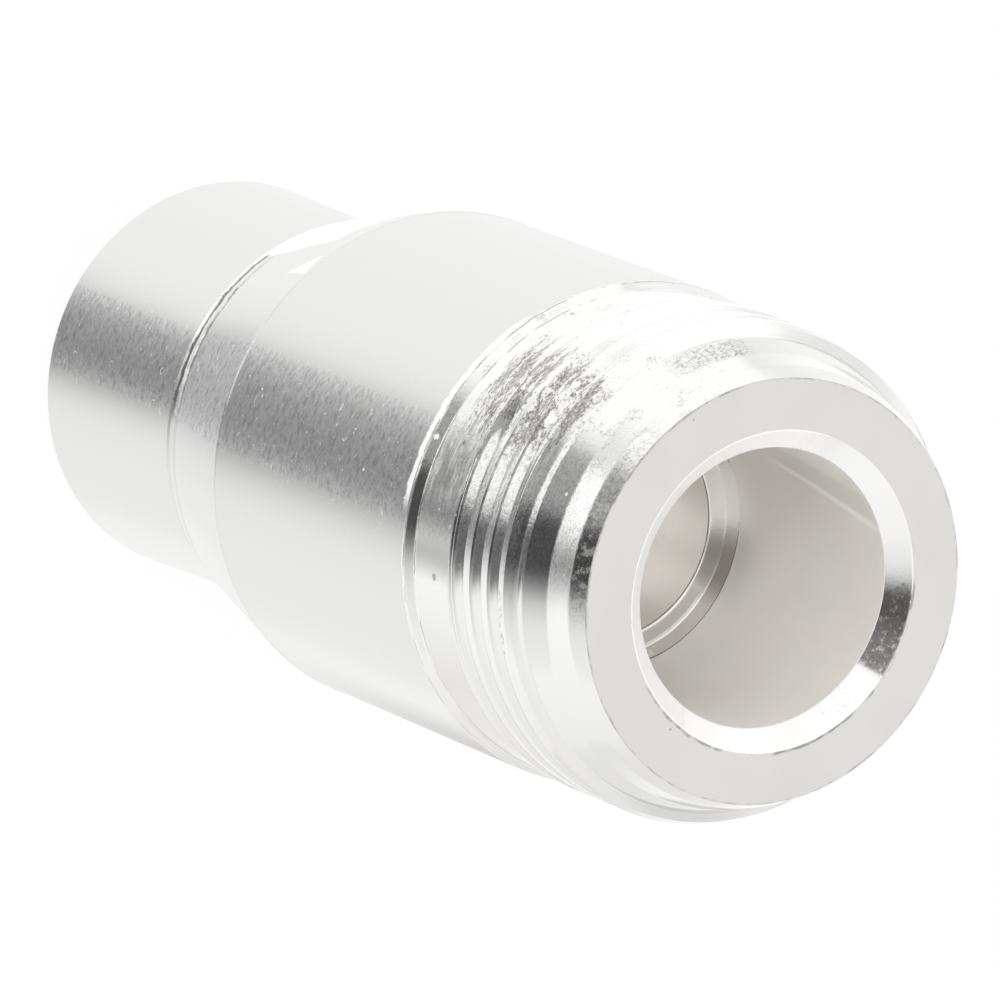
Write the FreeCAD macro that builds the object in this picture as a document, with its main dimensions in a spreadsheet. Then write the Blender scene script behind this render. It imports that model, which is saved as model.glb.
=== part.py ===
import FreeCAD, Part
import os
import Sketcher

# One-piece turned shell of a threaded coaxial jack. The rear rim stands on z = 0, the axis is Z, and the
# threaded front end looks up. All sizes are in millimetres.
nodeName = "connector_body"
sizes = {
    # Lengths along the axis, one after the other from the rear rim to the front face.
    "barrelLength": 8.5,
    "shoulderLength": 5.65,
    "bodyLength": 11.9,
    "bodyBevelLength": 0.4,
    "collarLength": 2.15,
    "threadLength": 4.8,
    "noseLength": 1.4,
    # Outside diameters. The barrel flares a little from its neck to its rim.
    "rimDiameter": 12.9,
    "neckDiameter": 12.5,
    "lipDiameter": 13.4,
    "bodyDiameter": 16.0,
    "collarDiameter": 15.6,
    "threadDiameter": 15.8,
    "noseDiameter": 14.0,
    "noseTipDiameter": 13.7,
    "faceDiameter": 13.3,
    # Broken and rounded edges of the outside.
    "faceBevelLength": 0.6,
    "threadEndLength": 0.1,
    "leadConeDiameter": 15.24,
    "leadConeLength": 0.85,
    "crestCornerLength": 0.14,
    "rimBevel": 0.25,
    "lipBevel": 0.2,
    "noseCornerRise": 0.3,
    "noseCornerWidth": 0.13,
    # Front bore, with a bevelled mouth and a coned corner at its floor.
    "frontBoreDiameter": 8.75,
    "frontBoreDepth": 9.5,
    "mouthDiameter": 10.05,
    "mouthLength": 0.6,
    "floorCornerWidth": 0.27,
    "floorCornerHeight": 0.4,
    # Bore through the middle, and the wider cable bore behind it.
    "throughDiameter": 7.0,
    "rearBoreDiameter": 10.6,
    "rearBoreDepth": 11.0,
    "rearMouthBevel": 0.3,
    # Two fine tool lines in the shoulder, measured up from the lip, as wide as this at its surface.
    "firstLineHeight": 0.45,
    "secondLineHeight": 1.15,
    "lineWidth": 0.22,
    "lineDepth": 0.1,
    # Right-hand unified thread with 24 turns to the inch. The cutter starts beside the collar, at this angle
    # about the axis, and leaves after the length of the groove. Its flanks widen by the slope on each side.
    "threadPitch": 1.0583,
    "threadDepth": 0.6,
    "threadRootWidth": 0.2,
    "threadFlankSlope": 0.5774,
    "threadStartAngle": 250,
    "grooveLength": 2.8,
    "cutterMargin": 0.3,
}
fullTurn = 360

doc = FreeCAD.newDocument("ConnectorBody")
sheet = doc.addObject("Spreadsheet::Sheet", "Sizes")
for row, (alias, number) in enumerate(sizes.items(), 1):
    sheet.set(f"A{row}", alias)
    sheet.set(f"B{row}", str(number))
    sheet.setAlias(f"B{row}", alias)
doc.recompute()
body = doc.addObject("PartDesign::Body", "ConnectorShell")
body.Label = nodeName


# A dimension is a pair: its number now, and the formula that ties it to the sheet.
def size(alias):
    return sizes[alias], f"Sizes.{alias}"


def halfOf(alias):
    return sizes[alias] / 2, f"Sizes.{alias} / 2"


def plus(*terms):
    return sum(number for number, formula in terms), " + ".join(formula for number, formula in terms)


def minus(first, second):
    return first[0] - second[0], f"{first[1]} - ({second[1]})"


nothing = (0, "0")


def drawSection(name, corners):
    # A closed outline in the plane through the axis: each corner is a radius and a height.
    sketch = body.newObject("Sketcher::SketchObject", name)
    plane = [item for item in body.Origin.OriginFeatures if item.Role == "XZ_Plane"][0]
    sketch.AttachmentSupport = [(plane, "")]
    sketch.MapMode = "FlatFace"
    count = len(corners)
    places = [FreeCAD.Vector(across[0], up[0], 0) for across, up in corners]
    for index in range(count):
        sketch.addGeometry(Part.LineSegment(places[index], places[(index + 1) % count]), False)
    for index in range(count):
        sketch.addConstraint(Sketcher.Constraint("Coincident", index, 2, (index + 1) % count, 1))
    axes = {"DistanceX": -2, "DistanceY": -1}
    for index, corner in enumerate(corners):
        for kind, (number, formula) in zip(axes, corner):
            if number == 0:
                sketch.addConstraint(Sketcher.Constraint("PointOnObject", index, 1, axes[kind]))
                continue
            place = sketch.addConstraint(Sketcher.Constraint(kind, -1, 1, index, 1, number))
            sketch.setExpression(f"Constraints[{place}]", formula)
    return sketch


def turn(kind, name, sketch):
    # A revolved feature about the axis: a Revolution adds the section, a Groove cuts it away.
    before = body.Tip.Shape.Volume if body.Tip else 0
    feature = body.newObject(f"PartDesign::{kind}", name)
    feature.Profile = sketch
    feature.ReferenceAxis = (sketch, ["V_Axis"])
    feature.Angle = fullTurn
    sketch.Visibility = False
    doc.recompute()
    after = feature.Shape.Volume
    if (after <= before) != (kind == "Groove"):
        raise RuntimeError(f"{name} changed the volume from {before:.2f} to {after:.2f}")
    return feature


# Heights of the stations along the axis.
lip = size("barrelLength")
bodyBottom = plus(lip, size("shoulderLength"))
bodyTop = plus(bodyBottom, size("bodyLength"))
collarBottom = plus(bodyTop, size("bodyBevelLength"))
collarTop = plus(collarBottom, size("collarLength"))
noseBottom = plus(collarTop, size("threadLength"))
front = plus(noseBottom, size("noseLength"))

# Outside: the solid turned blank.
coneBottom = minus(noseBottom, size("leadConeLength"))
outside = drawSection("OutsideSection", [
    (nothing, nothing),
    (minus(halfOf("rimDiameter"), size("rimBevel")), nothing),
    (halfOf("rimDiameter"), size("rimBevel")),
    (halfOf("neckDiameter"), lip),
    (minus(halfOf("lipDiameter"), size("lipBevel")), lip),
    (halfOf("lipDiameter"), plus(lip, size("lipBevel"))),
    (halfOf("bodyDiameter"), bodyBottom),
    (halfOf("bodyDiameter"), bodyTop),
    (halfOf("collarDiameter"), collarBottom),
    (halfOf("collarDiameter"), collarTop),
    (halfOf("threadDiameter"), plus(collarTop, size("threadEndLength"))),
    (halfOf("threadDiameter"), minus(coneBottom, size("crestCornerLength"))),
    (halfOf("leadConeDiameter"), coneBottom),
    (plus(halfOf("noseDiameter"), size("noseCornerWidth")), minus(noseBottom, size("noseCornerWidth"))),
    (halfOf("noseDiameter"), plus(noseBottom, size("noseCornerRise"))),
    (halfOf("noseTipDiameter"), minus(front, size("faceBevelLength"))),
    (halfOf("faceDiameter"), front),
    (nothing, front),
])
turn("Revolution", "Outside", outside)

# Inside: cable bore, bore through the middle, and front bore with its coned floor corner.
floor = minus(front, size("frontBoreDepth"))
throughRadius = halfOf("throughDiameter")
inside = drawSection("InsideSection", [
    (nothing, nothing),
    (plus(halfOf("rearBoreDiameter"), size("rearMouthBevel")), nothing),
    (halfOf("rearBoreDiameter"), size("rearMouthBevel")),
    (halfOf("rearBoreDiameter"), size("rearBoreDepth")),
    (throughRadius, size("rearBoreDepth")),
    (throughRadius, floor),
    (minus(halfOf("frontBoreDiameter"), size("floorCornerWidth")), floor),
    (halfOf("frontBoreDiameter"), plus(floor, size("floorCornerHeight"))),
    (halfOf("frontBoreDiameter"), minus(front, size("mouthLength"))),
    (halfOf("mouthDiameter"), front),
    (nothing, front),
])
turn("Groove", "Inside", inside)


def shoulderRadius(alias):
    # Radius of the shoulder's cone at a height above the lip.
    rise = sizes["bodyDiameter"] - sizes["lipDiameter"]
    number = sizes["lipDiameter"] / 2 + rise / 2 * sizes[alias] / sizes["shoulderLength"]
    growth = f"(Sizes.bodyDiameter - Sizes.lipDiameter) / 2 * Sizes.{alias} / Sizes.shoulderLength"
    return number, f"Sizes.lipDiameter / 2 + {growth}"


for name, alias in (("FirstLine", "firstLineHeight"), ("SecondLine", "secondLineHeight")):
    surface = shoulderRadius(alias)
    middle = plus(lip, size(alias))
    outer = plus(surface, size("lineDepth"))
    section = drawSection(f"{name}Section", [
        (minus(surface, size("lineDepth")), middle),
        (outer, minus(middle, size("lineWidth"))),
        (outer, plus(middle, size("lineWidth"))),
    ])
    turn("Groove", name, section)


def cutterReach(*depths):
    # Half of the cutter's width at a depth above its tip.
    above = plus(*depths)
    slope = size("threadFlankSlope")
    return plus(halfOf("threadRootWidth"), (above[0] * slope[0], f"({above[1]}) * {slope[1]}"))


# Thread: the cutter's slanted section follows a right-hand helix and leaves below the lead cone.
root = minus(halfOf("threadDiameter"), size("threadDepth"))
tool = plus(halfOf("threadDiameter"), size("cutterMargin"))
start = plus(collarTop, size("threadEndLength"), cutterReach(size("threadDepth")))
tipReach = halfOf("threadRootWidth")
toolReach = cutterReach(size("threadDepth"), size("cutterMargin"))
cutter = drawSection("ThreadSection", [
    (root, minus(start, tipReach)),
    (tool, minus(start, toolReach)),
    (tool, plus(start, toolReach)),
    (root, plus(start, tipReach)),
])
turned = FreeCAD.Rotation(FreeCAD.Vector(0, 1, 0), sizes["threadStartAngle"])
cutter.AttachmentOffset = FreeCAD.Placement(FreeCAD.Vector(), turned)
cutter.setExpression("AttachmentOffset.Rotation.Angle", "Sizes.threadStartAngle")
doc.recompute()
solidBefore = body.Tip.Shape.Volume
thread = body.newObject("PartDesign::SubtractiveHelix", "Thread")
thread.Profile = cutter
thread.ReferenceAxis = (cutter, ["V_Axis"])
thread.Mode = "pitch-height-angle"
thread.setExpression("Pitch", "Sizes.threadPitch")
thread.setExpression("Height", "Sizes.grooveLength")
thread.Angle = 0
thread.LeftHanded = False
cutter.Visibility = False
doc.recompute()
print(f"volume before the thread {solidBefore:.2f}, after {thread.Shape.Volume:.2f} mm3")
if thread.Shape.Volume >= solidBefore:
    raise RuntimeError("the thread removed nothing")

# Every object is checked before anything is written.
for item in doc.Objects:
    if "Invalid" in item.State or "Error" in item.State:
        raise RuntimeError(f"{item.Name} failed: {item.State}")
shape = body.Shape
if shape.isNull() or not shape.isValid() or len(shape.Solids) != 1:
    raise RuntimeError(f"{nodeName} is not one valid solid")
box = shape.optimalBoundingBox(True, False)
print(f"{nodeName}: {box.XLength:.3f} x {box.YLength:.3f} x {box.ZLength:.3f} mm, {shape.Volume:.1f} mm3")
os.makedirs("parts", exist_ok=True)
shape.exportStep(os.path.join("parts", f"{nodeName}.step"))
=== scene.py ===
import math
import bmesh
import bpy
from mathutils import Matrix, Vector


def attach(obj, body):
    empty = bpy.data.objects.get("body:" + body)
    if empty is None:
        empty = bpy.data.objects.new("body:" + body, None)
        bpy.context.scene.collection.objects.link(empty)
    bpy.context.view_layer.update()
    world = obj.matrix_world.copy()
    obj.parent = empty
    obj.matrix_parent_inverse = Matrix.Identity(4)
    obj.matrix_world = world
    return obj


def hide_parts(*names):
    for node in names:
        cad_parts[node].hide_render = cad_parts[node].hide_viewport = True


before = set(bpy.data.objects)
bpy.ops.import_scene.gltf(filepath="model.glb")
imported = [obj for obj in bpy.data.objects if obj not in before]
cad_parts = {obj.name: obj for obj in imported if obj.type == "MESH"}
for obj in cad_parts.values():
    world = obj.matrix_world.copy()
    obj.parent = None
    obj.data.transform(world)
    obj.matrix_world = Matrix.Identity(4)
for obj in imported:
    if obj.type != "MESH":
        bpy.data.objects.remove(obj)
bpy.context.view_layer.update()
mm = 0.001
print("frame loaded")


def feed(tree, socket, value):
    # a socket takes a link from another socket, or any other value as it is
    if isinstance(value, bpy.types.NodeSocket):
        tree.links.new(value, socket)
    else:
        socket.default_value = value


def addNode(tree, kind, inputs=None, **settings):
    node = tree.nodes.new(kind)
    for name, value in settings.items():
        setattr(node, name, value)
    for name, value in (inputs or {}).items():
        feed(tree, node.inputs[name], value)
    return node


def mathNode(tree, operation, *values):
    return addNode(tree, "ShaderNodeMath", dict(enumerate(values)), operation=operation).outputs[0]


def minus(tree, first, second):
    return mathNode(tree, "SUBTRACT", first, second)


def product(tree, first, *others):
    for other in others:
        first = mathNode(tree, "MULTIPLY", first, other)
    return first


def highest(tree, first, *others):
    for other in others:
        first = mathNode(tree, "MAXIMUM", first, other)
    return first


def mixNumber(tree, factor, first, second):
    inputs = {"Factor": factor, "A": first, "B": second}
    return addNode(tree, "ShaderNodeMix", inputs).outputs["Result"]


def smoothStep(tree, value, start, full):
    inputs = {"Value": value, "From Min": start, "From Max": full}
    return addNode(tree, "ShaderNodeMapRange", inputs, interpolation_type="SMOOTHSTEP").outputs["Result"]


def between(tree, value, low, high, soft):
    # 1 inside the range and 0 outside, with soft edges
    rise = smoothStep(tree, value, low - soft, low + soft)
    fall = smoothStep(tree, value, high + soft, high - soft)
    return product(tree, rise, fall)


def sector(tree, angle, centre, half, soft):
    # 1 on one side of the axis and 0 elsewhere: its middle, half its width and its softness are in degrees
    away = mathNode(tree, "RADIANS", minus(tree, angle, centre))
    away = mathNode(tree, "DEGREES", mathNode(tree, "ARCCOSINE", mathNode(tree, "COSINE", away)))
    return smoothStep(tree, away, half + soft, half - soft)


def wandering(tree, value, pattern, width):
    # a value pushed to and fro by a pattern, so that an edge drawn with it isn't straight
    return mathNode(tree, "ADD", value, mathNode(tree, "MULTIPLY_ADD", pattern, width, -width / 2))


camera = {
    "lens": 455.55,
    "sensor": 36,
    "clip": (0.01, 10),                                 # metres
    "location": (-0.81842, -216.96528, 353.47768),      # millimetres from the middle of the rear rim
    "turn": (-13.38825, -30.38528, 114.8649),           # degrees
}
cameraData = bpy.data.cameras.new("ProductCamera")
cameraData.lens = camera["lens"]
cameraData.sensor_width = camera["sensor"]
cameraData.clip_start, cameraData.clip_end = camera["clip"]
cameraObject = bpy.data.objects.new("ProductCamera", cameraData)
cameraObject.location = Vector(camera["location"]) * mm
cameraObject.rotation_euler = [math.radians(angle) for angle in camera["turn"]]
bpy.context.scene.collection.objects.link(cameraObject)
bpy.context.scene.camera = cameraObject
bpy.context.scene.view_settings.view_transform = "Standard"

# The studio is a white tent with cards of different greys. Each band of cards has its bottom, top and
# softness in degrees of height, and its tones by azimuth, where 0 is +X and 90 is +Y.
studio = {
    "tent": 1.05,
    "bands": {
        "low": {
            "heights": (-43, -25, 2.5),
            "tones": ((-180, 0.80), (-160, 0.77), (-122, 0.70), (-112, 0.85), (-106, 1.30), (-88, 1.25),
                      (-80, 0.85), (-74, 0.42), (-68, 0.32), (-62, 0.50), (-55, 0.78), (-48, 0.92), (0, 0.92),
                      (40, 0.90), (75, 1.03), (110, 1.0), (150, 0.95), (180, 0.80)),
        },
        "front": {
            "heights": (-24, 43, 2.5),
            "tones": ((-180, 0.64), (-168, 0.72), (-157, 1.05), (-126, 1.05), (-117, 0.85), (-111, 0.42),
                      (-100, 0.38), (-89, 0.34), (-85, 0.08), (-65, 0.07), (-59, 0.26), (-52, 0.62),
                      (-44, 0.82), (-28, 0.93), (10, 0.98), (28, 0.95), (40, 0.80), (52, 0.82), (64, 0.98),
                      (118, 1.0), (132, 0.84), (148, 0.84), (160, 0.98), (170, 0.95), (180, 0.64)),
        },
        "upper": {
            "heights": (43, 76, 3),
            "tones": ((-180, 1.03), (-85, 1.03), (-79, 0.14), (-53, 0.14), (-46, 0.95), (180, 1.03)),
        },
    },
    # A dark cloth lies on the floor of the tent, narrow under the part and wider towards the camera. Places
    # on it are measured in depths of the floor. Its tones go from its left side, 0, to its right side, 1.
    "cloth": {
        "reach": (-1.35, 0.25, 0.05),       # front, back and softness
        "left": (0.13, -0.10),              # a side's move towards the back, and its place under the part
        "right": (-0.375, 0.15),
        "fade": (-0.1, -0.2),               # directions that look down less steeply than this miss it
        "leastDepth": 0.05,
        "leastWidth": 0.01,
        "tones": ((-0.5, 1.05), (-0.10, 1.0), (0.02, 0.60), (0.15, 0.40), (0.35, 0.34), (0.55, 0.29),
                  (0.75, 0.28), (0.90, 0.42), (1.06, 0.72), (1.25, 0.93), (1.5, 1.0)),
    },
    "rampCeiling": 2,       # a ramp's colours stop at 1, so that tones are divided by this inside it
}


def toneRamp(tree, value, tones):
    # the tone at a value, from a list of places and tones
    low, high = tones[0][0], tones[-1][0]
    share = mathNode(tree, "DIVIDE", minus(tree, value, low), high - low)
    node = addNode(tree, "ShaderNodeValToRGB", {0: share})
    stops = node.color_ramp.elements
    for place, tone in tones[1:-1]:
        stops.new((place - low) / (high - low))
    for stop, (place, tone) in zip(stops, tones):
        grey = tone / studio["rampCeiling"]
        stop.color = (grey, grey, grey, 1)
    return mathNode(tree, "MULTIPLY", node.outputs["Color"], studio["rampCeiling"])


def clothOver(tree, shade, x, y, z):
    cloth = studio["cloth"]
    depth = mathNode(tree, "MAXIMUM", mathNode(tree, "MULTIPLY", z, -1), cloth["leastDepth"])
    across, along = mathNode(tree, "DIVIDE", x, depth), mathNode(tree, "DIVIDE", y, depth)
    left = mathNode(tree, "MULTIPLY_ADD", along, *cloth["left"])
    right = mathNode(tree, "MULTIPLY_ADD", along, *cloth["right"])
    width = mathNode(tree, "MAXIMUM", minus(tree, right, left), cloth["leastWidth"])
    part = mathNode(tree, "DIVIDE", minus(tree, across, left), width)
    inside = product(tree, between(tree, along, *cloth["reach"]), smoothStep(tree, z, *cloth["fade"]))
    return mixNumber(tree, inside, shade, toneRamp(tree, part, cloth["tones"]))


def buildStudio():
    world = bpy.data.worlds.new("Studio")
    world.use_nodes = True
    tree = world.node_tree
    tree.nodes.clear()
    direction = addNode(tree, "ShaderNodeTexCoord").outputs["Generated"]
    x, y, z = addNode(tree, "ShaderNodeSeparateXYZ", {0: direction}).outputs
    azimuth = mathNode(tree, "DEGREES", mathNode(tree, "ARCTAN2", y, x))
    height = mathNode(tree, "DEGREES", mathNode(tree, "ARCSINE", z))
    shade = studio["tent"]
    for band in studio["bands"].values():
        inside = between(tree, height, *band["heights"])
        shade = mixNumber(tree, inside, shade, toneRamp(tree, azimuth, band["tones"]))
    shade = clothOver(tree, shade, x, y, z)
    rays = addNode(tree, "ShaderNodeLightPath").outputs
    strength = mixNumber(tree, rays["Is Camera Ray"], shade, 1.0)
    background = addNode(tree, "ShaderNodeBackground", {"Color": (1, 1, 1, 1), "Strength": strength})
    addNode(tree, "ShaderNodeOutputWorld", {0: background.outputs[0]})
    world.cycles.sampling_method = "NONE"      # the tent is even, so it needs no light sampling of its own
    bpy.context.scene.world = world


floorSettings = {
    "size": 3.0,                        # metres
    "colour": (0.95, 0.95, 0.95, 1),
    "whiteShare": 0.95,                 # how much of what is seen of it is plain white
}


def buildFloor():
    half = floorSettings["size"] / 2
    corners = [(-half, -half, 0), (half, -half, 0), (half, half, 0), (-half, half, 0)]
    mesh = bpy.data.meshes.new("StudioFloor")
    mesh.from_pydata(corners, [], [(0, 1, 2, 3)])
    floor = bpy.data.objects.new("StudioFloor", mesh)
    bpy.context.scene.collection.objects.link(floor)
    material = bpy.data.materials.new("FloorPaper")
    material.use_nodes = True
    tree = material.node_tree
    tree.nodes.clear()
    paper = addNode(tree, "ShaderNodeBsdfDiffuse", {"Color": floorSettings["colour"]})
    white = addNode(tree, "ShaderNodeEmission", {"Color": (1, 1, 1, 1)})
    rays = addNode(tree, "ShaderNodeLightPath").outputs
    seen = highest(tree, rays["Is Camera Ray"], rays["Is Glossy Ray"], rays["Is Transmission Ray"])
    share = product(tree, seen, floorSettings["whiteShare"])
    mix = addNode(tree, "ShaderNodeMixShader", {0: share, 1: paper.outputs[0], 2: white.outputs[0]})
    addNode(tree, "ShaderNodeOutputMaterial", {0: mix.outputs[0]})
    mesh.materials.append(material)
    floor.visible_glossy = False        # the tent goes on below the floor, as it would round a glass table


# Places and sizes in metres, and power in watts.
lampSettings = {
    "key": {"location": (-0.15, -0.5, 0.75), "size": 0.5, "power": 3.0},
    "fill": {"location": (0.6, 0.5, 0.7), "size": 0.8, "power": 2.0},
}
lampAim = (0, 0, 0.015)


def buildLamps():
    for name, setting in lampSettings.items():
        light = bpy.data.lights.new(name, "AREA")
        light.shape = "DISK"
        light.size = setting["size"]
        light.energy = setting["power"]
        lamp = bpy.data.objects.new(name, light)
        lamp.location = setting["location"]
        aim = Vector(lampAim) - lamp.location
        lamp.rotation_euler = aim.to_track_quat("-Z", "Y").to_euler()
        lamp.visible_glossy = False     # the tent and its cards are what the plating reflects
        bpy.context.scene.collection.objects.link(lamp)


buildStudio()
buildFloor()
buildLamps()
print("camera, studio, floor and lamps ready")

# Fixed proportions of the patterns that the materials are made of.
patterns = {
    "offsetShares": (1, 1.7, 0.6),      # how far an offset moves a pattern along x, y and z
    "smallestSpeck": 0.35,              # the largest has this and 1 more of its size
    "scratchCore": 0.4,                 # share of a scratch's width that is at full strength
    "scratchCut": {"scale": 1.3, "offset": 3, "soft": 0.04},        # the pattern that keeps some scratches
    "spotEdge": (6.0, 3, 0.8, 1),       # the pattern that makes a spot's edge ragged
    "spotReach": 2.2,                   # a spot's edge where that pattern is 1, in sizes of the spot
    "spotStep": (0.04, -0.02),
    "crackScale": 1.3,                  # scale of the cloud, in scales of the cells
    "crackCloud": {"Detail": 4, "Roughness": 0.7},
    "crackPush": 1.5,                   # how far the cloud pushes the cells, in cells
    "crackUneven": 3,                   # how much the cloud widens the cracks
    "crackSoft": 0.3,
}


class Surface:
    # One material of the shell, with the part's own coordinates at hand in millimetres and degrees.
    def __init__(self, name, given):
        self.material = bpy.data.materials.new(name)
        self.material.use_nodes = True
        self.tree = self.material.node_tree
        self.given = given
        self.metallic = given.get("metallic", 1.0)
        self.shader = self.tree.nodes["Principled BSDF"]
        self.shader.inputs["Metallic"].default_value = self.metallic
        self.shader.inputs["Base Color"].default_value = (*given["colour"], 1)
        self.shader.inputs["Roughness"].default_value = given["roughness"]
        inputs = {0: addNode(self.tree, "ShaderNodeTexCoord").outputs["Object"], "Scale": 1 / mm}
        self.place = addNode(self.tree, "ShaderNodeVectorMath", inputs, operation="SCALE").outputs[0]
        x, y, self.height = addNode(self.tree, "ShaderNodeSeparateXYZ", {0: self.place}).outputs
        self.azimuth = mathNode(self.tree, "DEGREES", mathNode(self.tree, "ARCTAN2", y, x))
        flat = mathNode(self.tree, "ADD", product(self.tree, x, x), product(self.tree, y, y))
        self.radius = mathNode(self.tree, "SQRT", flat)

    # The next five take the name of a setting.
    def side(self, name):
        return sector(self.tree, self.azimuth, *self.given[name])

    def mark(self, level, name):
        # a mark between two levels and about one side
        belt, side, *share = self.given[name]
        inside = between(self.tree, level, *belt)
        return product(self.tree, inside, sector(self.tree, self.azimuth, *side), *share)

    def step(self, value, name):
        return smoothStep(self.tree, value, *self.given[name])

    def scaled(self, value, name):
        return mathNode(self.tree, "MULTIPLY_ADD", value, *self.given[name])

    def pattern(self, name):
        return self.noise(*self.given[name])

    def stretched(self, stretch, offset=0):
        # the place with its height stretched, so that a pattern's cells lie flatter round the part
        shift = [offset * share for share in patterns["offsetShares"]]
        inputs = {"Vector": self.place, "Scale": (1, 1, stretch), "Location": shift}
        return addNode(self.tree, "ShaderNodeMapping", inputs).outputs[0]

    def noise(self, scale, detail=2, rough=0.5, stretch=1.0, offset=0):
        place = self.stretched(stretch, offset)
        inputs = {"Vector": place, "Scale": scale, "Detail": detail, "Roughness": rough}
        return addNode(self.tree, "ShaderNodeTexNoise", inputs).outputs[0]

    def specks(self, scale, size, share, stretch=1.0, offset=0):
        # small spots, one in each of a share of the cells
        tree = self.tree
        inputs = {"Vector": self.stretched(stretch, offset), "Scale": scale}
        cells = addNode(tree, "ShaderNodeTexVoronoi", inputs).outputs
        chance = addNode(tree, "ShaderNodeSeparateColor", {0: cells["Color"]}).outputs
        chosen = mathNode(tree, "LESS_THAN", chance[0], share)
        grown = mathNode(tree, "ADD", chance[1], patterns["smallestSpeck"])
        spot = mathNode(tree, "LESS_THAN", cells["Distance"], product(tree, grown, size))
        return product(tree, chosen, spot)

    def scratches(self, scale, width, share, offset=0):
        # short curved scratches: the middle level lines of one pattern, kept where another is high
        tree, cut = self.tree, patterns["scratchCut"]
        middle = minus(tree, self.noise(scale, 1, 0.5, 1, offset), 0.5)
        curve = mathNode(tree, "ABSOLUTE", middle)
        chooser = self.noise(scale * cut["scale"], 1, 0.5, 1, offset + cut["offset"])
        kept = smoothStep(tree, chooser, 1 - share, 1 - share + cut["soft"])
        return product(tree, smoothStep(tree, curve, width, width * patterns["scratchCore"]), kept)

    def spot(self, azimuth, height, size):
        # one spot at an azimuth and a height, with a ragged edge
        tree = self.tree
        turned = minus(tree, self.azimuth, azimuth)
        around = product(tree, turned, self.radius, math.radians(1))
        up = minus(tree, self.height, height)
        square = mathNode(tree, "ADD", product(tree, around, around), product(tree, up, up))
        away = mathNode(tree, "SQRT", square)
        edge = self.noise(*patterns["spotEdge"], height)
        ragged = mathNode(tree, "MULTIPLY_ADD", edge, -patterns["spotReach"] * size, away)
        return smoothStep(tree, ragged, *patterns["spotStep"])

    def cracks(self, scale, width, offset=0):
        # a net of fine cracks: the borders of cells that a cloud has pushed about
        tree, place = self.tree, self.stretched(1, offset)
        inputs = {"Vector": place, "Scale": scale * patterns["crackScale"], **patterns["crackCloud"]}
        cloud = addNode(tree, "ShaderNodeTexNoise", inputs).outputs
        inputs = {0: cloud["Color"], 1: (patterns["crackPush"] / scale,) * 3, 2: place}
        pushed = addNode(tree, "ShaderNodeVectorMath", inputs, operation="MULTIPLY_ADD").outputs[0]
        inputs = {"Vector": pushed, "Scale": scale}
        cells = addNode(tree, "ShaderNodeTexVoronoi", inputs, feature="DISTANCE_TO_EDGE").outputs
        uneven = mathNode(tree, "MULTIPLY_ADD", cloud[0], width * patterns["crackUneven"], -width)
        near = minus(tree, uneven, cells["Distance"])
        soft = width * patterns["crackSoft"]
        return smoothStep(tree, near, -soft, soft)

    def paint(self, masks):
        # lays the paints of the settings over the plating, one over the other, each through its own mask
        below = (*self.given["colour"], 1)
        for name, (share, colour) in self.given["paints"].items():
            inputs = {0: product(self.tree, masks[name], share), 6: below, 7: (*colour, 1)}
            below = addNode(self.tree, "ShaderNodeMix", inputs, data_type="RGBA").outputs[2]
        feed(self.tree, self.shader.inputs["Base Color"], below)

    def polish(self, masks):
        # the same with the roughness
        below = self.given["roughness"]
        for name, (share, roughness) in self.given["polishes"].items():
            below = mixNumber(self.tree, product(self.tree, masks[name], share), below, roughness)
        feed(self.tree, self.shader.inputs["Roughness"], below)

    def frost(self, masks):
        # matt, scattering spots that look white whatever they face; many of them are painted highlights
        spots = [product(self.tree, masks[name], share) for name, share in self.given["frosts"].items()]
        if spots:
            metallic = mixNumber(self.tree, highest(self.tree, *spots), self.metallic, 0.0)
            feed(self.tree, self.shader.inputs["Metallic"], metallic)

    def finish(self, masks, height, strength, depth):
        # puts the masks to use, and a bump on top: its depth is in millimetres
        self.paint(masks)
        self.polish(masks)
        self.frost(masks)
        inputs = {"Height": height, "Strength": strength, "Distance": depth * mm}
        normal = addNode(self.tree, "ShaderNodeBump", inputs).outputs[0]
        feed(self.tree, self.shader.inputs["Normal"], normal)
        return self.material


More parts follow.
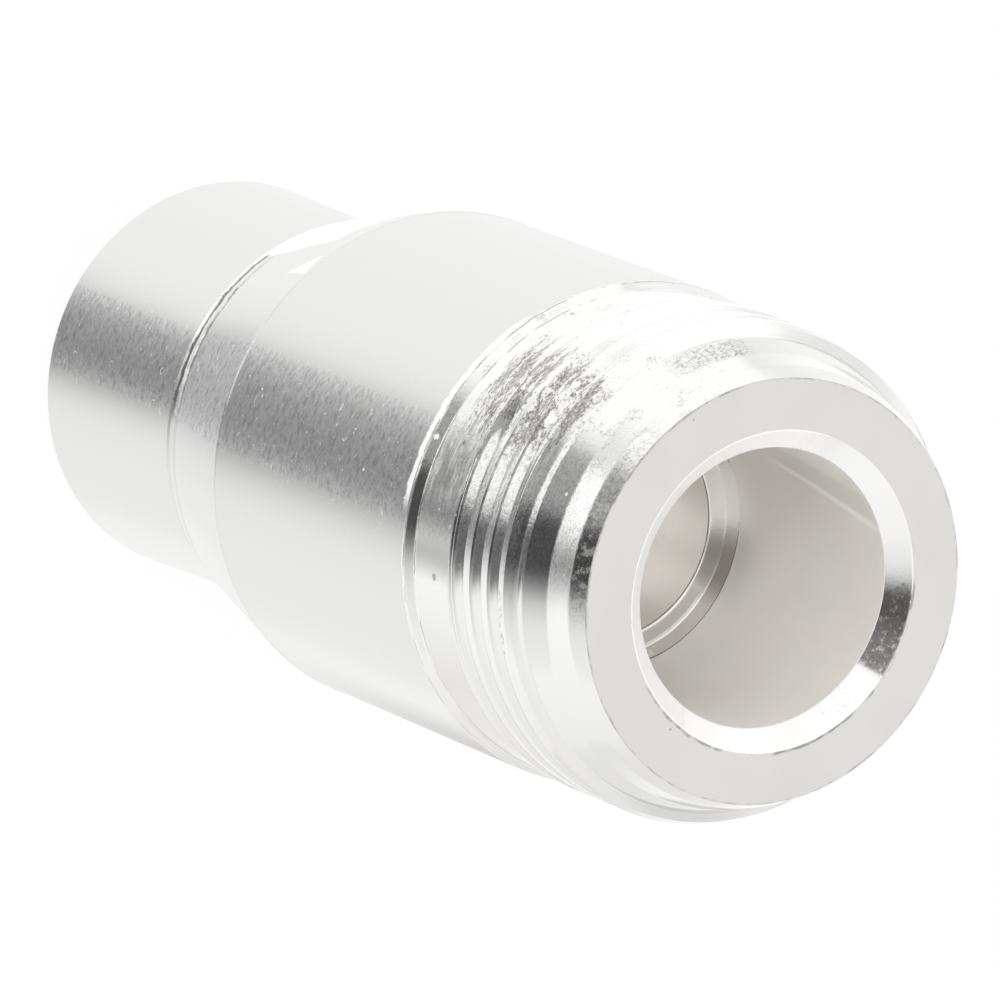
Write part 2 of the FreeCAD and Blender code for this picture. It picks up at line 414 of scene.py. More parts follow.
# How the settings of the materials are written:
# grains, clouds, flecks, streaks, rings, waves and the patterns that break or move an edge have their scale,
# detail, roughness, stretch and offset;
# specks have their scale, size, share of the cells, stretch and offset;
# scratches have their scale, width, share and offset, and cracks their scale, width and offset;
# a side has its middle, half its width and its softness in degrees about the axis, where the side towards
# the camera is -90, the upper side in the picture about 180 and the lower side about 0;
# a belt, a tool line or the collar has its bottom, top and softness in millimetres of height;
# a mark has a belt and a side, and a share where it is weak;
# a step has the value where it starts and the value where it is full;
# a spot has its azimuth, height and size;
# paints and polishes have a share, and a colour or a roughness; frosts have a share alone.
satinSettings = {
    "colour": (0.80, 0.80, 0.793),
    "roughness": 0.24,
    "cloud": (0.9, 2, 0.5, 1.0, 7),
    # the grain is at its strongest on the side towards the camera, where it also has dark and light clouds:
    # painted reflection mottling
    "grain": (3.3, 4, 0.8, 1.7),
    "grainDepth": 0.007,
    "grainSide": (-87, 13, 4),
    "grainStep": (0.95, 1.12),
    "quietGrain": 0.12,
    "darkStep": (0.51, 0.37),
    "paleStep": (0.52, 0.68),
    # painted light: on the side towards the camera the shoulder is painted a little brighter and made duller
    # than the body there
    "slope": ((9.1, 14.12, 0.03), (-84, 14, 6)),
    "dull": ((9.1, 14.12, 0.03), (-84, 12, 6)),
    # the lower side gets darker towards the collar: a painted dark reflection along the lower outline, with
    # tarnish near the collar
    "underSide": (-6, 12, 9),
    "underStep": (10, 27),
    # small bright pits, more of them in some places than in others, and curved nicks
    "pits": (2.4, 0.11, 0.35, 1.3),
    "pitStep": (0.38, 0.58),
    "pitShare": 0.8,
    "nicks": ((2.2, 0.018, 0.33, 51), (4.0, 0.022, 0.32, 58)),
    "nickSide": (-86, 16, 6),
    # painted shade and tarnish in the two tool lines, on a height that wanders, strong on one side only
    "wander": (2.6, 3, 0.65, 0.3, 5),
    "wanderWidth": 0.34,
    "firstLine": (8.90, 9.34, 0.04),
    "secondLine": (9.62, 9.86, 0.04),
    "secondShare": 0.75,
    "lineSide": (-103, 27, 4),
    "lineShares": (0.05, 0.97),         # away from that side, and on it
    # painted highlights: white edges behind and between the lines and below the bevel, and a thin pale line
    # where the body begins
    "edge": ((8.2, 8.88, 0.05), (-120, 24, 3)),
    "thinEdge": ((9.36, 9.54, 0.04), (-104, 22, 6), 0.7),
    "rim": ((25.75, 26.4, 0.05), (-104, 25, 3), 0.9),
    "start": ((14.02, 14.2, 0.04), (-97, 9, 8), 0.35),
    # painted reflection: a white crescent on the shoulder's upper side, with a wavy edge, and a small wedge
    # beside it
    "crescentStep": (8.45, 8.5),
    "crescentTop": 12.9,
    "crescentEdge": (-0.46, -48.7),     # millimetres for each degree, and at azimuth 0, as in the wedge
    "crescentWave": (0.9, 3, 0.6, 1, 9),
    "crescentWaveWidth": 1.2,
    "crescentSide": (-158, 31, 1),
    "wedgeMiddle": (-0.064, 5.57),
    "wedgeSpread": (0.107, 13.59),
    "wedgeSide": (-123.5, 3.5, 0.4),
    "bareStep": (-0.04, 0.04),
    "paints": {
        "cloud": (1, (0.81, 0.808, 0.80)),
        "slope": (1, (0.95, 0.95, 0.945)),
        "under": (0.8, (0.30, 0.28, 0.275)),
        "dark": (0.65, (0.50, 0.51, 0.53)),
        "pale": (0.75, (0.98, 0.98, 0.98)),
        "nicks": (0.7, (0.93, 0.93, 0.93)),
        "grooveShadeAndTarnish": (1, (0.20, 0.175, 0.155)),
        "bare": (1, (0.98, 0.98, 0.975)),
    },
    "polishes": {"grain": (0.5, 0.32), "nicks": (1, 0.75)},
    "frosts": {"bare": 1, "thinEdge": 1, "start": 1, "nicks": 0.45, "dull": 0.2},
}


# a painted reflection: a white crescent and a wedge on the shoulder's upper side
def crescentHighlight(plate, level):
    given, tree = plate.given, plate.tree
    climb = plate.scaled(plate.azimuth, "crescentEdge")
    climb = mathNode(tree, "MINIMUM", climb, given["crescentTop"])
    top = wandering(tree, climb, plate.pattern("crescentWave"), given["crescentWaveWidth"])
    left = minus(tree, top, plate.height)
    foot = plate.step(plate.height, "crescentStep")
    crescent = product(tree, foot, plate.step(left, "bareStep"), plate.side("crescentSide"))
    middle = plate.scaled(plate.azimuth, "wedgeMiddle")
    spread = plate.scaled(plate.azimuth, "wedgeSpread")
    off = mathNode(tree, "ABSOLUTE", minus(tree, level, middle))
    left = minus(tree, spread, off)
    wedge = product(tree, plate.step(left, "bareStep"), plate.side("wedgeSide"))
    return highest(tree, crescent, wedge)


def satinPlate():
    given = satinSettings
    plate = Surface("SatinPlate", given)
    tree = plate.tree
    grain = plate.pattern("grain")
    cloud = plate.pattern("cloud")
    lively = plate.side("grainSide")
    ragged = plate.step(mathNode(tree, "ADD", lively, grain), "grainStep")
    pits = plate.specks(*given["pits"])
    pits = product(tree, pits, plate.step(cloud, "pitStep"), given["pitShare"])
    nicks = highest(tree, pits, *[plate.scratches(*nick) for nick in given["nicks"]])
    level = wandering(tree, plate.height, plate.pattern("wander"), given["wanderWidth"])
    second = product(tree, between(tree, level, *given["secondLine"]), given["secondShare"])
    lines = highest(tree, between(tree, level, *given["firstLine"]), second)
    strength = mixNumber(tree, plate.side("lineSide"), *given["lineShares"])
    edge = plate.mark(level, "edge")
    rim = plate.mark(level, "rim")
    rise = plate.step(plate.height, "underStep")
    masks = {
        "grain": grain,
        "cloud": cloud,
        # painted reflection: dark and light clouds on the side towards the camera
        "dark": product(tree, ragged, plate.step(grain, "darkStep")),
        "pale": product(tree, ragged, plate.step(grain, "paleStep")),
        # painted light: the shoulder brighter and matt on the side towards the camera
        "slope": plate.mark(plate.height, "slope"),
        "dull": plate.mark(plate.height, "dull"),
        # painted dark reflection along the lower side, with tarnish near the collar
        "under": product(tree, plate.side("underSide"), rise),
        "nicks": product(tree, nicks, plate.side("nickSide")),
        # painted shade in the tool lines' grooves, with tarnish
        "grooveShadeAndTarnish": product(tree, lines, strength),
        # painted highlights: the white crescent and wedge, the rim and the edge behind the lines
        "bare": highest(tree, crescentHighlight(plate, level), rim, edge),
        # painted highlights: thin white lines between the tool lines and where the body begins
        "thinEdge": plate.mark(level, "thinEdge"),
        "start": plate.mark(level, "start"),
    }
    amount = mixNumber(tree, lively, given["quietGrain"], 1.0)
    return plate.finish(masks, grain, amount, given["grainDepth"])


brightSettings = {
    "colour": (0.945, 0.942, 0.935),
    "roughness": 0.10,
    "grain": (7.0, 3, 0.8, 1.6),
    "grainDepth": 0.004,
    "grainSide": (-112, 34, 12),
    "quietGrain": 0.10,
    "cloud": (1.1, 2, 0.55, 1.6, 4),
    # scuffed plating above the dark bands: dark flecks in streaks round the part, thinning out upwards
    "flecks": (6.5, 4, 0.85, 2.0, 31),
    "streaks": (0.55, 4, 0.65, 6.0, 41),
    "scuff": ((26.9, 32.4, 0.3), (-112, 16, 10)),
    "scuffStreaks": (1.3, -0.68),       # factor and addition, here and in the two below
    "scuffGather": (0.41, -0.30),
    "scuffContrast": (3.2, -0.85),
    "scuffStep": (0.46, 0.60),
    # painted reflection: darker mottling on the side towards the camera
    "mottleSide": (-89, 16, 6),
    "mottleStep": (0.54, 0.38),
    # crazed plating on top of the lead cone, on the bevel at the face and in a few patches
    "crazedTop": ((32.5, 33.3, 0.1), (-146, 10, 3)),
    "crazedTopStep": (0.40, 0.62),
    "crazedStep": (0.56, 0.64),
    "crazedShare": 0.7,
    "bevelStep": (34.1, 34.25),
    "bevelSide": (-92, 26, 6),
    "bevelShare": 0.8,
    "cracks": (3.8, 0.055, 2),
    "clear": (3.5, 3, 0.7, 0.6, 63),
    "clearStep": (0.50, 0.62),
    # fine dark lines along the turned edges at these heights, broken here and there, on a height that wanders
    "edges": (26.06, 26.47, 28.6),
    "lineHalf": 0.02,
    "lineSoft": 0.015,
    "lineStep": (0.45, 0.55),
    "lineSide": (-130, 82, 5),
    "lineShares": (0.4, 1.0),           # away from that side, and on it
    "wander": (2.0, 3, 0.6, 0.5, 12),
    "wanderWidth": 0.16,
    # dark notches along the edge of the first crest
    "notches": ((31.70, 31.84, 0.03), (-60.5, 7.5, 1)),
    "notchStep": (0.54, 0.60),
    "specks": (2.2, 0.12, 0.2, 1.2, 21),
    "brownSpecks": (0.55, 0.035, 0.5, 1.0, 33),
    "brownSpots": ((-64.5, 27.65, 0.09), (-96, 27.6, 0.08)),
    "lightNick": (-95, 26.2, 0.07),
    # painted light on the collar: painted shade on its lower side and below the ridge, and a painted pale
    # reflection above it, as the crests are
    "collar": (26.5, 28.6, 0.08),
    "underSide": (6, 50, 28),
    "underShares": (0.4, 1.0),          # beyond the collar, and on it
    "shadeSide": (-69, 3.5, 3.5),
    "paleReflection": ((26.5, 31.4, 0.08), (-91, 8, 4)),
    "paleReflectionStep": (0.40, 0.58),
    # painted highlights: matt white plating above the scuffs, on the thread and on the collar
    "bareThread": ((28.5, 32.46, 0.08), (-149, 17, 6)),
    "bareCollarSide": (-113, 4, 4),
    "paints": {
        "crazedTop": (0.7, (0.62, 0.615, 0.60)),
        "under": (1, (0.65, 0.64, 0.62)),
        "shade": (0.65, (0.36, 0.36, 0.355)),
        "mottle": (0.6, (0.55, 0.55, 0.545)),
        "scuff": (0.9, (0.24, 0.23, 0.215)),
        "crack": (0.85, (0.25, 0.24, 0.23)),
        "line": (0.75, (0.25, 0.22, 0.20)),
        "brown": (0.8, (0.38, 0.31, 0.25)),
        "clear": (1, (0.75, 0.74, 0.72)),
    },
    "polishes": {"grain": (0.4, 0.2), "scuff": (1, 0.3), "specks": (1, 0.6)},
    "frosts": {"specks": 0.6, "lightNick": 1, "clear": 0.25, "paleReflection": 0.4, "bare": 0.8},
}


def scuffs(plate, flecks, streaks):
    tree = plate.tree
    where = plate.mark(plate.height, "scuff")
    scuffed = mathNode(tree, "ADD", flecks, plate.scaled(streaks, "scuffStreaks"))
    scuffed = mathNode(tree, "ADD", scuffed, plate.scaled(where, "scuffGather"))
    contrast = plate.scaled(flecks, "scuffContrast")
    return product(tree, plate.step(scuffed, "scuffStep"), where, contrast)


def edgeLines(plate, flecks, cloud):
    given, tree = plate.given, plate.tree
    level = wandering(tree, plate.height, plate.pattern("wander"), given["wanderWidth"])
    half, soft = given["lineHalf"], given["lineSoft"]
    lines = [between(tree, level, height - half, height + half, soft) for height in given["edges"]]
    strength = mixNumber(tree, plate.side("lineSide"), *given["lineShares"])
    line = product(tree, highest(tree, *lines), plate.step(cloud, "lineStep"), strength)
    notches = product(tree, plate.mark(level, "notches"), plate.step(flecks, "notchStep"))
    return highest(tree, line, notches)


def brightPlate():
    given = brightSettings
    plate = Surface("BrightPlate", given)
    tree = plate.tree
    grain = plate.pattern("grain")
    cloud = plate.pattern("cloud")
    lively = plate.side("grainSide")
    flecks = plate.pattern("flecks")
    streaks = plate.pattern("streaks")
    mottle = product(tree, plate.side("mottleSide"), plate.step(grain, "mottleStep"))
    crazedTop = plate.mark(plate.height, "crazedTop")
    patches = product(tree, plate.step(cloud, "crazedStep"), lively, given["crazedShare"])
    rise = plate.step(plate.height, "bevelStep")
    bevel = product(tree, rise, plate.side("bevelSide"))
    crazed = highest(tree, crazedTop, patches, product(tree, bevel, given["bevelShare"]))
    clear = plate.step(plate.pattern("clear"), "clearStep")
    spots = [plate.spot(*spot) for spot in given["brownSpots"]]
    collar = between(tree, plate.height, *given["collar"])
    under = product(tree, plate.side("underSide"), mixNumber(tree, collar, *given["underShares"]))
    paleReflection = product(tree, plate.mark(plate.height, "paleReflection"), plate.step(streaks, "paleReflectionStep"))
    # painted highlight on one side of the collar
    collarHighlight = product(tree, collar, plate.side("bareCollarSide"))
    masks = {
        "grain": grain,
        "crazedTop": product(tree, crazedTop, plate.step(grain, "crazedTopStep")),
        # painted shade on the lower side and below the collar's ridge
        "under": under,
        "shade": product(tree, collar, plate.side("shadeSide")),
        # painted reflection mottling
        "mottle": mottle,
        "scuff": scuffs(plate, flecks, streaks),
        "crack": product(tree, plate.cracks(*given["cracks"]), crazed),
        "line": edgeLines(plate, flecks, cloud),
        "brown": highest(tree, plate.specks(*given["brownSpecks"]), *spots),
        "clear": product(tree, bevel, clear),
        "specks": product(tree, plate.specks(*given["specks"]), lively),
        "lightNick": plate.spot(*given["lightNick"]),
        # painted pale reflection above the collar's ridge
        "paleReflection": paleReflection,
        "bare": highest(tree, plate.mark(plate.height, "bareThread"), collarHighlight),
    }
    amount = mixNumber(tree, lively, given["quietGrain"], 1.0)
    return plate.finish(masks, grain, amount, given["grainDepth"])


# The bevel at the mouth is clouded on the left, crazed and dark at one place on the right. The coned corner
# and the ring at the floor of the bore have this finish too, with a painted highlight above and painted shade
# in the middle.
mouthSettings = {
    "colour": (0.955, 0.95, 0.94),
    "roughness": 0.10,
    "cloud": (1.4, 3, 0.6, 1, 3),
    "cloudStrength": 0.6,
    "cloudDepth": 0.012,
    "hazeAndGleamLeft": (-92, 84, 10),
    "leftShare": 0.6,
    "hazeAndGleamBelow": (30, 46, 4),
    "belowShare": 0.75,
    "wanderWidth": 14,                  # degrees
    "patchSide": (91, 16, 1.5),
    "patch": (5.0, 4, 0.8, 1, 16),
    "patchStep": (0.32, 0.50),
    "cracks": (4.0, 0.05, 8),
    "cracksShare": 0.8,
    "fineCracks": (4.0, 0.035, 18),
    "fineCracksSide": (60, 10, 4),
    "fineCracksShare": 0.35,
    "floorStep": (30, 29),
    "shadedSide": (92, 13, 9),
    "gleamSide": (124, 13, 8),
    "grooveSide": (58, 24, 8),
    "grooveRadius": (3.6, 3.98, 0.03),
    "grooveShare": 0.6,
    "paints": {
        "shaded": (1, (0.42, 0.41, 0.40)),
        "darkPatch": (1, (0.36, 0.35, 0.34)),
        "crack": (1, (0.22, 0.21, 0.20)),
    },
    "polishes": {"hazeAndGleam": (1, 0.4), "patch": (1, 0.28)},
    "frosts": {"hazeAndGleam": 1},
}


def mouthPlate():
    given = mouthSettings
    plate = Surface("MouthPlate", given)
    tree = plate.tree
    cloud = plate.pattern("cloud")
    left = product(tree, plate.side("hazeAndGleamLeft"), given["leftShare"])
    hazeAndGleam = highest(tree, left, product(tree, plate.side("hazeAndGleamBelow"), given["belowShare"]))
    turned = wandering(tree, plate.azimuth, cloud, given["wanderWidth"])
    patch = sector(tree, turned, *given["patchSide"])
    crack = product(tree, plate.cracks(*given["cracks"]), patch, given["cracksShare"])
    fineSide = sector(tree, turned, *given["fineCracksSide"])
    fineCrack = product(tree, plate.cracks(*given["fineCracks"]), fineSide, given["fineCracksShare"])
    low = plate.step(plate.height, "floorStep")
    bevel = minus(tree, 1, low)
    ring = between(tree, plate.radius, *given["grooveRadius"])
    groove = product(tree, plate.side("grooveSide"), ring, given["grooveShare"])
    patch = product(tree, patch, bevel)
    # painted highlight: a matt white gleam on one side of the bore's floor
    gleam = product(tree, low, plate.side("gleamSide"))
    masks = {
        "shaded": product(tree, low, highest(tree, plate.side("shadedSide"), groove)),
        "patch": patch,
        "darkPatch": product(tree, patch, plate.step(plate.pattern("patch"), "patchStep")),
        "crack": product(tree, highest(tree, crack, fineCrack), bevel),
        "hazeAndGleam": highest(tree, product(tree, hazeAndGleam, bevel), gleam),
    }
    return plate.finish(masks, cloud, given["cloudStrength"], given["cloudDepth"])


# The flat face is pale and matt, with broken dark lines along its outer edge and part of its inner one.
faceSettings = {
    "colour": (0.775, 0.764, 0.735),
    "roughness": 0.55,
    "grain": (10.0, 2, 0.6),
    "grainStrength": 0.5,
    "grainDepth": 0.004,
    "cloud": (0.35, 2, 0.5, 1, 6),
    "cloudStep": (0.3, 0.7),
    "specks": (0.9, 0.035, 0.4, 1, 14),
    "wander": (2.2, 3, 0.65, 1, 23),
    "wanderWidth": 0.14,
    "outerStep": (6.58, 6.63),
    "outerShare": 0.75,
    "innerStep": (5.145, 5.115),
    "innerSide": (40, 75, 15),
    "line": (0.8, 3, 0.7, 1, 18),
    "lineStep": (0.44, 0.62),
    "paints": {
        "cloud": (1, (0.80, 0.79, 0.765)),
        "specks": (0.6, (0.40, 0.38, 0.36)),
        "line": (0.7, (0.28, 0.25, 0.23)),
    },
    "polishes": {},
    "frosts": {},
}


def facePlate():
    given = faceSettings
    plate = Surface("FacePlate", given)
    tree = plate.tree
    ring = wandering(tree, plate.radius, plate.pattern("wander"), given["wanderWidth"])
    outer = product(tree, plate.step(ring, "outerStep"), given["outerShare"])
    inner = product(tree, plate.step(ring, "innerStep"), plate.side("innerSide"))
    broken = plate.step(plate.pattern("line"), "lineStep")
    masks = {
        "cloud": plate.step(plate.pattern("cloud"), "cloudStep"),
        "specks": plate.specks(*given["specks"]),
        "line": product(tree, highest(tree, outer, inner), broken),
    }
    return plate.finish(masks, plate.pattern("grain"), given["grainStrength"], given["grainDepth"])


boreSettings = {
    "colour": (0.995, 0.965, 0.932),
    "roughness": 0.40,
    "metallic": 0.35,
    "rings": (1.2, 2, 0.6, 9.0, 2),
    "ringStrength": 0.35,
    "ringDepth": 0.005,
    "cloud": (0.45, 2, 0.5, 1, 5),
    "cloudStep": (0.35, 0.7),
    # painted highlight: a soft pale streak along the wall, and a darker, duller one beside it
    "streakPath": (-3.4, 248.6),        # degrees for each millimetre of height, and at height 0
    "streakBelt": (29.0, 34.2, 0.6),
    "streakWidth": (-2.2, 1.2, 1.0),
    "dullWidth": (1.2, 16, 2.0),
    # the bore through the middle is brighter plating than the wall in front of it
    "innerStep": (3.9, 3.6),
    "innerMetallic": 1.0,
    "paints": {"cloud": (1, (0.985, 0.972, 0.95)), "dull": (0.6, (0.84, 0.835, 0.80))},
    "polishes": {"rings": (1, 0.38), "inner": (1, 0.20)},
    "frosts": {"streak": 1},
}


def borePlate():
    given = boreSettings
    plate = Surface("BorePlate", given)
    tree = plate.tree
    rings = plate.pattern("rings")
    path = plate.scaled(plate.height, "streakPath")
    aside = minus(tree, plate.azimuth, path)
    along = between(tree, plate.height, *given["streakBelt"])
    inner = plate.step(plate.radius, "innerStep")
    plate.metallic = mixNumber(tree, inner, given["metallic"], given["innerMetallic"])
    masks = {
        "rings": rings,
        "cloud": plate.step(plate.pattern("cloud"), "cloudStep"),
        "inner": inner,
        # painted highlight: a pale streak along the wall
        "streak": product(tree, between(tree, aside, *given["streakWidth"]), along),
        "dull": product(tree, between(tree, aside, *given["dullWidth"]), along),
    }
    return plate.finish(masks, rings, given["ringStrength"], given["ringDepth"])


plates = {"SatinPlate": satinPlate(), "BrightPlate": brightPlate(), "FacePlate": facePlate(),
          "MouthPlate": mouthPlate(), "BorePlate": borePlate()}
print("materials ready")


# Lengths are in millimetres and angles in degrees.
shell = {
    "columns": 300,
    "threadPitch": 1.0583,
    "crestRadius": 7.9,
    "edgeSoftness": 0.035,
    "softPlaces": (-1, -0.6, -0.2, 0.2, 0.6, 1),        # places over which an edge of the thread is averaged
    "grooveStart": 250.0,
    "grooveStartHeight": 29.147,
    "grooveTurns": 2.646,
    "grooveFadeIn": (-0.02, 0.04),      # turns over which the groove gets its depth, and loses it
    "grooveFadeOut": (-0.02, 0.10),
    "threadBottom": 28.65,
    "threadTop": 32.27,
    "threadEndSoftness": 0.02,
    "firstCrestCone": 31.87,            # from this height on the first crest is coned
    "firstCrestSlope": 0.35,
    # drop below the crest at places across one pitch, measured from the groove's middle towards the front
    "threadProfile": ((-0.80, 0.0), (-0.44, 0.06), (-0.15, 0.50), (0.06, 0.50), (0.26, 0.0), (0.30, 0.0)),
    # rows of points across each turn, closest together at the profile's corners
    "threadRows": (-0.529, -0.50, -0.475, -0.44, -0.405, -0.30, -0.18, -0.12, -0.03, 0.03, 0.09, 0.17, 0.225,
                   0.26, 0.295, 0.40, 0.49),
    "threadTurns": range(-1, 4),
    "cornerShare": 0.4,                 # a rounding takes at most this share of the lengths beside it
    "cornerSteps": (0, 0.25, 0.5, 0.75, 1),
    "supportReach": 1.2,                # where the supporting rows lie, in lengths of the rounding
    "weldDistance": 0.002,
    "leastEdge": 0.0005,
}

# The outline of the shell, from the rear rim up the outside and back down the bores. Every station has a
# radius, a height, the rounding of its corner (all in millimetres) and the finish from there on.
satin, bright, faceFinish, mouth, bore = "SatinPlate", "BrightPlate", "FacePlate", "MouthPlate", "BorePlate"
outsideBelow = [
    (6.2, 0.0, 0.03, satin), (6.45, 0.25, 0.08, satin), (6.25, 8.5, 0.08, bright), (6.5, 8.5, 0.04, bright),
    (6.7, 8.7, 0.10, satin), (6.748, 8.78, 0.02, satin), (6.70, 8.95, 0.02, satin), (6.85, 9.14, 0.04, satin),
    (6.93, 9.52, 0.02, satin), (6.90, 9.65, 0.02, satin), (7.0, 9.80, 0.03, satin),
    (7.975, 14.05, 0.02, satin), (8.0, 14.12, 0.02, satin), (8.0, 14.17, 0.02, satin),
    (7.985, 14.22, 0.02, satin), (7.995, 26.05, 0.13, bright), (7.8, 26.45, 0.10, bright),
    (7.8, 28.58, 0.03, bright), (shell["crestRadius"], shell["threadBottom"], 0.0, bright),
]
outsideAbove = [
    (7.76, shell["threadTop"], 0.0, bright), (7.47, 32.44, 0.05, bright), (7.13, 33.27, 0.07, bright),
    (7.02, 33.7, 0.3, bright), (6.90, 34.2, 0.08, bright), (6.65, 34.8, 0.04, faceFinish),
    (5.025, 34.8, 0.04, mouth), (4.375, 34.2, 0.04, bore), (4.375, 25.7, 0.05, mouth),
    (4.105, 25.3, 0.04, mouth), (3.5, 25.3, 0.08, bore), (3.5, 11.0, 0.05, bore), (5.3, 11.0, 0.1, bore),
    (5.3, 0.3, 0.05, bright), (5.6, 0.0, 0.03, satin),
]


def roundedRows(before, stations, after):
    # Rows of the outline, with each corner rounded by a short arc and a supporting row on either side.
    rows = []
    for last, station, following in zip([before, *stations], stations, [*stations[1:], after]):
        radius, height, rounding, finish = station
        corner = Vector((radius, height))
        if rounding == 0:
            rows.append((*corner, finish))
            continue
        inward, onward = Vector(last[:2]) - corner, Vector(following[:2]) - corner
        reach = min(rounding, inward.length * shell["cornerShare"], onward.length * shell["cornerShare"])
        inward, onward = inward.normalized(), onward.normalized()
        support = reach * shell["supportReach"]
        start, end = corner + inward * reach, corner + onward * reach
        rows.append((*(corner + inward * support), last[3]))
        for step in shell["cornerSteps"]:
            place = start * (1 - step) ** 2 + corner * 2 * step * (1 - step) + end * step ** 2
            rows.append((*place, last[3] if step < 0.5 else finish))
        rows.append((*(corner + onward * support), finish))
    return rows


def threadDrop(offset):
    # drop of the thread's profile at a place across the pitch
    profile, pitch = shell["threadProfile"], shell["threadPitch"]
    while offset > profile[-1][0]:
        offset -= pitch
    for (start, above), (end, below) in zip(profile, profile[1:]):
        if start <= offset <= end:
            return above + (below - above) * (offset - start) / (end - start)
    return 0.0


def softDrop(offset):
    places = shell["softPlaces"]
    return sum(threadDrop(offset + place * shell["edgeSoftness"]) for place in places) / len(places)


def threadRows():
    rows = []
    for turn in shell["threadTurns"]:
        for offset in shell["threadRows"]:
            height = shell["grooveStartHeight"] + shell["threadPitch"] * turn + offset
            rows.append((shell["crestRadius"], height, bright, softDrop(offset), turn, 1))
    return rows


def outlineMesh():
    # One vertex for each row; the attributes say what the Geometry Nodes tree does with it.
    below = roundedRows(outsideAbove[-1], outsideBelow, outsideAbove[0])
    above = roundedRows(outsideBelow[-1], outsideAbove, outsideBelow[0])
    rows = [(*row, 0, 0, 0) for row in below] + threadRows() + [(*row, 0, 0, 0) for row in above]
    rows.append(rows[0])
    mesh = bpy.data.meshes.new("ShellOutline")
    mesh.from_pydata([(row[0] * mm, 0, row[1] * mm) for row in rows], [], [])
    for name, column, scale in (("cut", 3, mm), ("turn", 4, 1), ("helical", 5, 1)):
        values = mesh.attributes.new(name, "FLOAT", "POINT")
        values.data.foreach_set("value", [float(row[column]) * scale for row in rows])
    names = list(plates)
    kinds = mesh.attributes.new("finish", "INT", "POINT")
    kinds.data.foreach_set("value", [names.index(row[2]) for row in rows])
    return mesh, len(rows)


def namedValue(tree, name, kind="FLOAT"):
    return addNode(tree, "GeometryNodeInputNamedAttribute", {"Name": name}, data_type=kind).outputs[0]


def paintFinishes(tree, geometry, given):
    # Sets each face's material from its number.
    for number, name in enumerate(plates):
        inputs = {2: namedValue(tree, "finish", "INT"), 3: number}
        same = addNode(tree, "FunctionNodeCompare", inputs, data_type="INT", operation="EQUAL")
        inputs = {"Geometry": geometry, "Selection": same.outputs[0], "Material": given[name]}
        geometry = addNode(tree, "GeometryNodeSetMaterial", inputs).outputs[0]
    return geometry


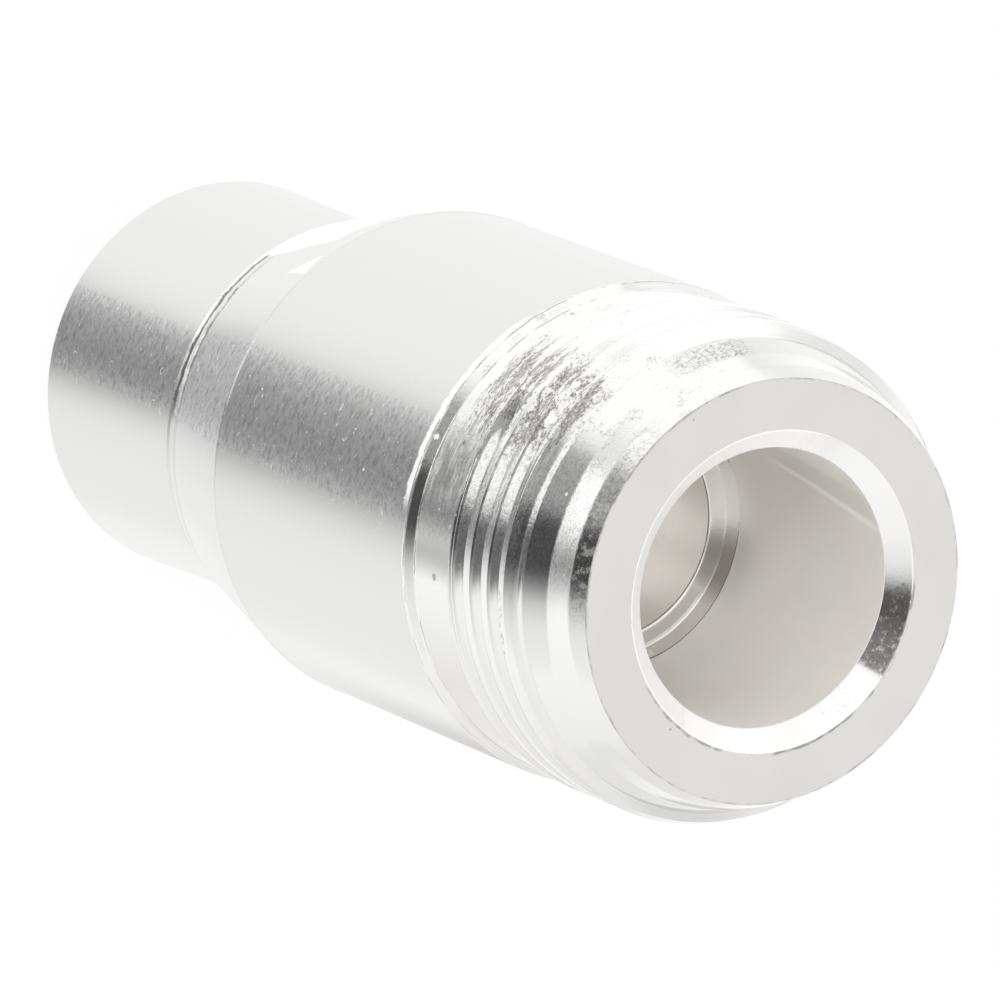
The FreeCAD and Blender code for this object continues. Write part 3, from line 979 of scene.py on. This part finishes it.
def turningTree():
    # Turns the outline about the axis; the thread's rows climb with the angle, so that they follow the helix.
    tree = bpy.data.node_groups.new("TurnShell", "GeometryNodeTree")
    face = tree.interface
    face.new_socket("Geometry", in_out="OUTPUT", socket_type="NodeSocketGeometry")
    face.new_socket("Outline", in_out="INPUT", socket_type="NodeSocketGeometry")
    for name in ("Columns", "Rows"):
        face.new_socket(name, in_out="INPUT", socket_type="NodeSocketInt")
    for name in ("Pitch", "Start Angle", "Turns", "Thread Bottom", "Thread Top", "Cone Start", "Cone Slope"):
        face.new_socket(name, in_out="INPUT", socket_type="NodeSocketFloat")
    for name in plates:
        face.new_socket(name, in_out="INPUT", socket_type="NodeSocketMaterial")
    given = addNode(tree, "NodeGroupInput").outputs
    columns, rows = given["Columns"], given["Rows"]
    inputs = {"Vertices X": mathNode(tree, "ADD", columns, 1), "Vertices Y": rows}
    grid = addNode(tree, "GeometryNodeMeshGrid", inputs).outputs["Mesh"]
    index = addNode(tree, "GeometryNodeInputIndex").outputs[0]
    column = mathNode(tree, "FLOOR", mathNode(tree, "DIVIDE", mathNode(tree, "ADD", index, 0.5), rows))
    row = minus(tree, index, mathNode(tree, "MULTIPLY", column, rows))
    turned = mathNode(tree, "DIVIDE", column, columns)

    def sample(kind, value):
        inputs = {"Geometry": given["Outline"], "Value": value, "Index": row}
        return addNode(tree, "GeometryNodeSampleIndex", inputs, data_type=kind).outputs[0]

    place = sample("FLOAT_VECTOR", addNode(tree, "GeometryNodeInputPosition").outputs[0])
    place = addNode(tree, "ShaderNodeSeparateXYZ", {0: place}).outputs
    radius, height = place["X"], place["Z"]
    helical = sample("FLOAT", namedValue(tree, "helical"))
    climbed = mathNode(tree, "ADD", height, mathNode(tree, "MULTIPLY", given["Pitch"], turned))
    climbed = mathNode(tree, "MAXIMUM", climbed, given["Thread Bottom"])
    climbed = mathNode(tree, "MINIMUM", climbed, given["Thread Top"])
    level = mixNumber(tree, helical, height, climbed)
    # turns of the groove behind this point, and the depth of the groove here
    along = mathNode(tree, "ADD", sample("FLOAT", namedValue(tree, "turn")), turned)
    fadeIn = smoothStep(tree, along, *shell["grooveFadeIn"])
    fadeOut = smoothStep(tree, minus(tree, given["Turns"], along), *shell["grooveFadeOut"])
    soft = shell["threadEndSoftness"] * mm
    low = smoothStep(tree, minus(tree, level, given["Thread Bottom"]), 0, soft)
    high = smoothStep(tree, minus(tree, given["Thread Top"], level), 0, soft)
    cut = product(tree, sample("FLOAT", namedValue(tree, "cut")), fadeIn, fadeOut, low, high)
    cone = mathNode(tree, "MAXIMUM", minus(tree, level, given["Cone Start"]), 0)
    cone = product(tree, cone, given["Cone Slope"], helical)
    radius = minus(tree, radius, mathNode(tree, "MAXIMUM", cut, cone))
    angle = mathNode(tree, "ADD", mathNode(tree, "MULTIPLY", turned, 2 * math.pi), given["Start Angle"])
    across = product(tree, radius, mathNode(tree, "COSINE", angle))
    inward = product(tree, radius, mathNode(tree, "SINE", angle))
    spot = addNode(tree, "ShaderNodeCombineXYZ", {"X": across, "Y": inward, "Z": level}).outputs[0]
    finish = sample("INT", namedValue(tree, "finish", "INT"))
    inputs = {"Geometry": grid, "Name": "finish", "Value": finish}
    stored = addNode(tree, "GeometryNodeStoreNamedAttribute", inputs, data_type="INT").outputs[0]
    moved = addNode(tree, "GeometryNodeSetPosition", {"Geometry": stored, "Position": spot}).outputs[0]
    inputs = {"Geometry": moved, "Distance": shell["weldDistance"] * mm}
    welded = addNode(tree, "GeometryNodeMergeByDistance", inputs).outputs[0]
    smooth = addNode(tree, "GeometryNodeSetShadeSmooth", {"Geometry": welded}).outputs[0]
    real = addNode(tree, "GeometryNodeRealizeInstances", {0: smooth}).outputs[0]
    addNode(tree, "NodeGroupOutput", {0: paintFinishes(tree, real, given)})
    return tree


def bakeTree(name, mesh, tree, values):
    # Runs a Geometry Nodes tree on a mesh and keeps the result as a plain mesh with outward faces.
    source = bpy.data.objects.new(name + "Source", mesh)
    bpy.context.scene.collection.objects.link(source)
    modifier = source.modifiers.new("Nodes", "NODES")
    modifier.node_group = tree
    for item in tree.interface.items_tree:
        if item.item_type == "SOCKET" and item.in_out == "INPUT" and item.name in values:
            modifier[item.identifier] = values[item.name]
    graph = bpy.context.evaluated_depsgraph_get()
    graph.update()
    baked = bpy.data.meshes.new_from_object(source.evaluated_get(graph))
    source.modifiers.remove(modifier)
    bpy.data.objects.remove(source)
    tidy = bmesh.new()
    tidy.from_mesh(baked)
    bmesh.ops.dissolve_degenerate(tidy, dist=shell["leastEdge"] * mm, edges=tidy.edges)
    bmesh.ops.recalc_face_normals(tidy, faces=tidy.faces)
    openEdges = sum(not edge.is_manifold for edge in tidy.edges)
    volume = tidy.calc_volume(signed=True) / mm ** 3
    print(name, "open edges:", openEdges, "volume in mm3:", round(volume, 1))
    tidy.to_mesh(baked)
    tidy.free()
    piece = bpy.data.objects.new(name, baked)
    bpy.context.scene.collection.objects.link(piece)
    return piece


def buildShell():
    mesh, rowCount = outlineMesh()
    values = {
        "Columns": shell["columns"],
        "Rows": rowCount,
        "Pitch": shell["threadPitch"] * mm,
        "Start Angle": math.radians(shell["grooveStart"]),
        "Turns": shell["grooveTurns"],
        "Thread Bottom": shell["threadBottom"] * mm,
        "Thread Top": shell["threadTop"] * mm,
        "Cone Start": shell["firstCrestCone"] * mm,
        "Cone Slope": shell["firstCrestSlope"],
        **plates,
    }
    piece = bakeTree("turned_shell", mesh, turningTree(), values)
    print("shell:", len(piece.data.vertices), "points,", len(piece.data.polygons), "faces")
    return piece


turnedShell = buildShell()
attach(turnedShell, "root")
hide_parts("connector_body")
print("turned shell in place")
